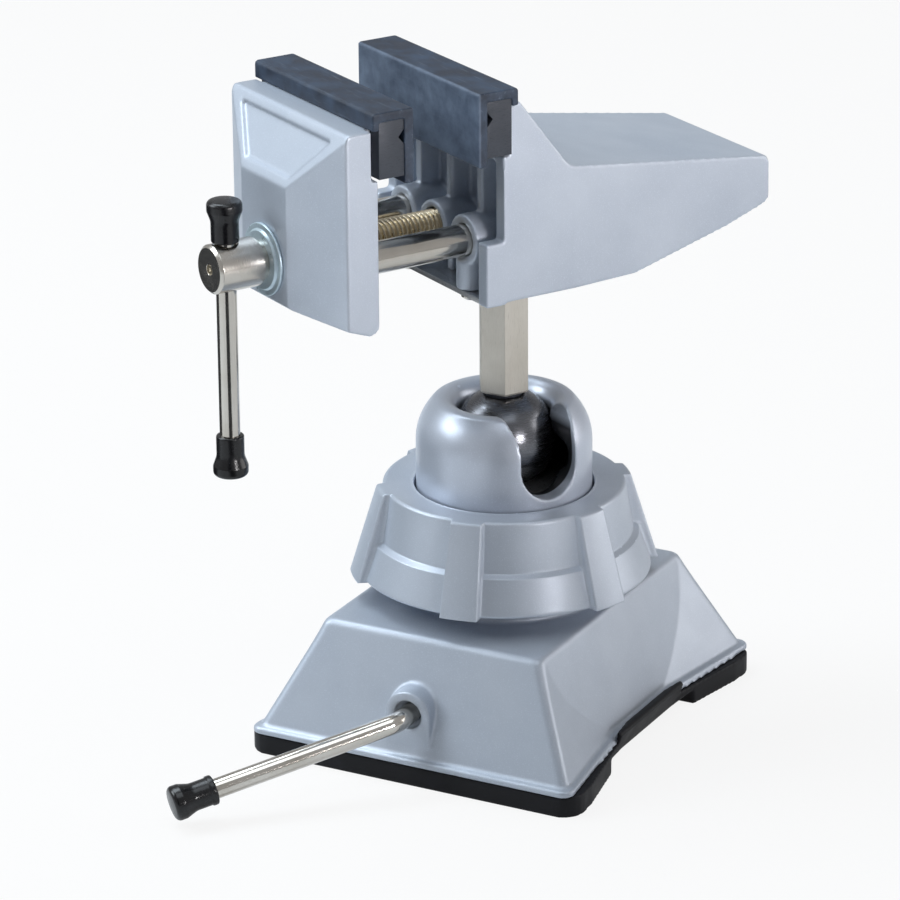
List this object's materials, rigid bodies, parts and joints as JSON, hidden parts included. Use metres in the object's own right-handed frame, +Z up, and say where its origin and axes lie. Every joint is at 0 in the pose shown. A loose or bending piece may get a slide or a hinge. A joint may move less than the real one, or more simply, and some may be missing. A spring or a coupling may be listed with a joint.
{
  "type": "suction base vise",
  "caption": "Small bench vise on a swivelling ball joint, with soft jaw covers, a sliding screw handle and a lever-operated suction base.",
  "frame": {"origin": "centre of the suction pad's underside, on the bench", "axes": "+Z up, -Y towards the vacuum lever's side of the base, +X to the right seen from there; the head is turned 30 degrees clockwise from above"},
  "size_m": [0.1328, 0.2148, 0.2209],
  "materials": {
    "silver_paint": "bluish-silver paint on cast aluminium, fine texture",
    "black_rubber": "satin black rubber",
    "navy_rubber": "dusty navy-black rubber",
    "nickel": "warm bright nickel plate",
    "satin_steel": "satin steel",
    "plain_steel": "zinc-plated steel",
    "dark_steel": "dark oxide steel with turning marks",
    "screw_steel": "yellow-plated steel thread",
    "brass_nut": "plain brass"
  },
  "bodies": {
    "base": {"base_housing": "silver_paint", "suction_pad": "black_rubber", "ball_seat": "plain_steel"},
    "lever": {"vacuum_lever": "nickel", "lever_tip": "black_rubber", "lever_cam": "plain_steel", "cam_pin": "plain_steel", "lever_clip": "dark_steel"},
    "lift": {"pad_plate": "plain_steel", "pull_yoke": "plain_steel"},
    "ring": {"lock_ring": "silver_paint"},
    "dome": {"clamp_dome": "silver_paint"},
    "ball": {"ball": "dark_steel"},
    "head": {"hex_stem": "satin_steel", "rear_jaw_body": "silver_paint", "bottom_plate": "plain_steel", "bottom_plate_screws": "nickel", "lead_nut": "brass_nut", "rear_jaw_plate": "dark_steel", "rear_plate_screws": "dark_steel", "rear_jaw_cover": "navy_rubber"},
    "jaw": {"front_jaw": "silver_paint", "guide_rod_left": "nickel", "guide_rod_right": "nickel", "front_jaw_plate": "dark_steel", "front_plate_screws": "dark_steel", "front_jaw_cover": "navy_rubber"},
    "screw": {"lead_screw": "screw_steel", "screw_hub": "nickel", "thrust_washer": "plain_steel", "screw_clip": "dark_steel"},
    "handle": {"handle_bar": "nickel", "handle_cap_top": "black_rubber", "handle_cap_bottom": "black_rubber"}
  },
  "joints": [
    {"name": "lever_turn", "type": "hinge", "parent": "base", "child": "lever", "pos_m": [-0.0015, 0, 0.0225], "axis": [0, 1, 0], "range_deg": [0, 180]},
    {"name": "pad_lift", "type": "slide", "parent": "base", "child": "lift", "axis": [0, 0, 1], "range_m": [0, 0.0036]},
    {"name": "ring_turn", "type": "hinge", "parent": "base", "child": "ring", "pos_m": [0, 0, 0.06], "axis": [0, 0, 1], "range_deg": [0, 180]},
    {"name": "dome_swivel", "type": "hinge", "parent": "base", "child": "dome", "pos_m": [0, 0, 0.0945], "axis": [0, 0, 1], "continuous": true},
    {"name": "ball_tilt", "type": "hinge", "parent": "dome", "child": "ball", "pos_m": [0, 0, 0.0945], "axis": [0.5, 0.866, 0], "range_deg": [-25, 90]},
    {"name": "head_spin", "type": "hinge", "parent": "ball", "child": "head", "pos_m": [0, 0, 0.0945], "axis": [0, 0, 1], "continuous": true},
    {"name": "jaw_slide", "type": "slide", "parent": "head", "child": "jaw", "axis": [0.5, 0.866, 0], "range_m": [-0.034, 0.0224]},
    {"name": "screw_turn", "type": "hinge", "parent": "jaw", "child": "screw", "pos_m": [0, 0, 0.1697], "axis": [0.5, 0.866, 0], "range_deg": [-7712, 5082]},
    {"name": "handle_slide", "type": "slide", "parent": "screw", "child": "handle", "axis": [0, 0, 1], "range_m": [0, 0.046]}
  ],
  "couplings": [
    {"joint": "lever_turn", "follows": "pad_lift", "rad_per_m": 872.66},
    {"joint": "screw_turn", "follows": "jaw_slide", "rad_per_m": 3957.9}
  ]
}
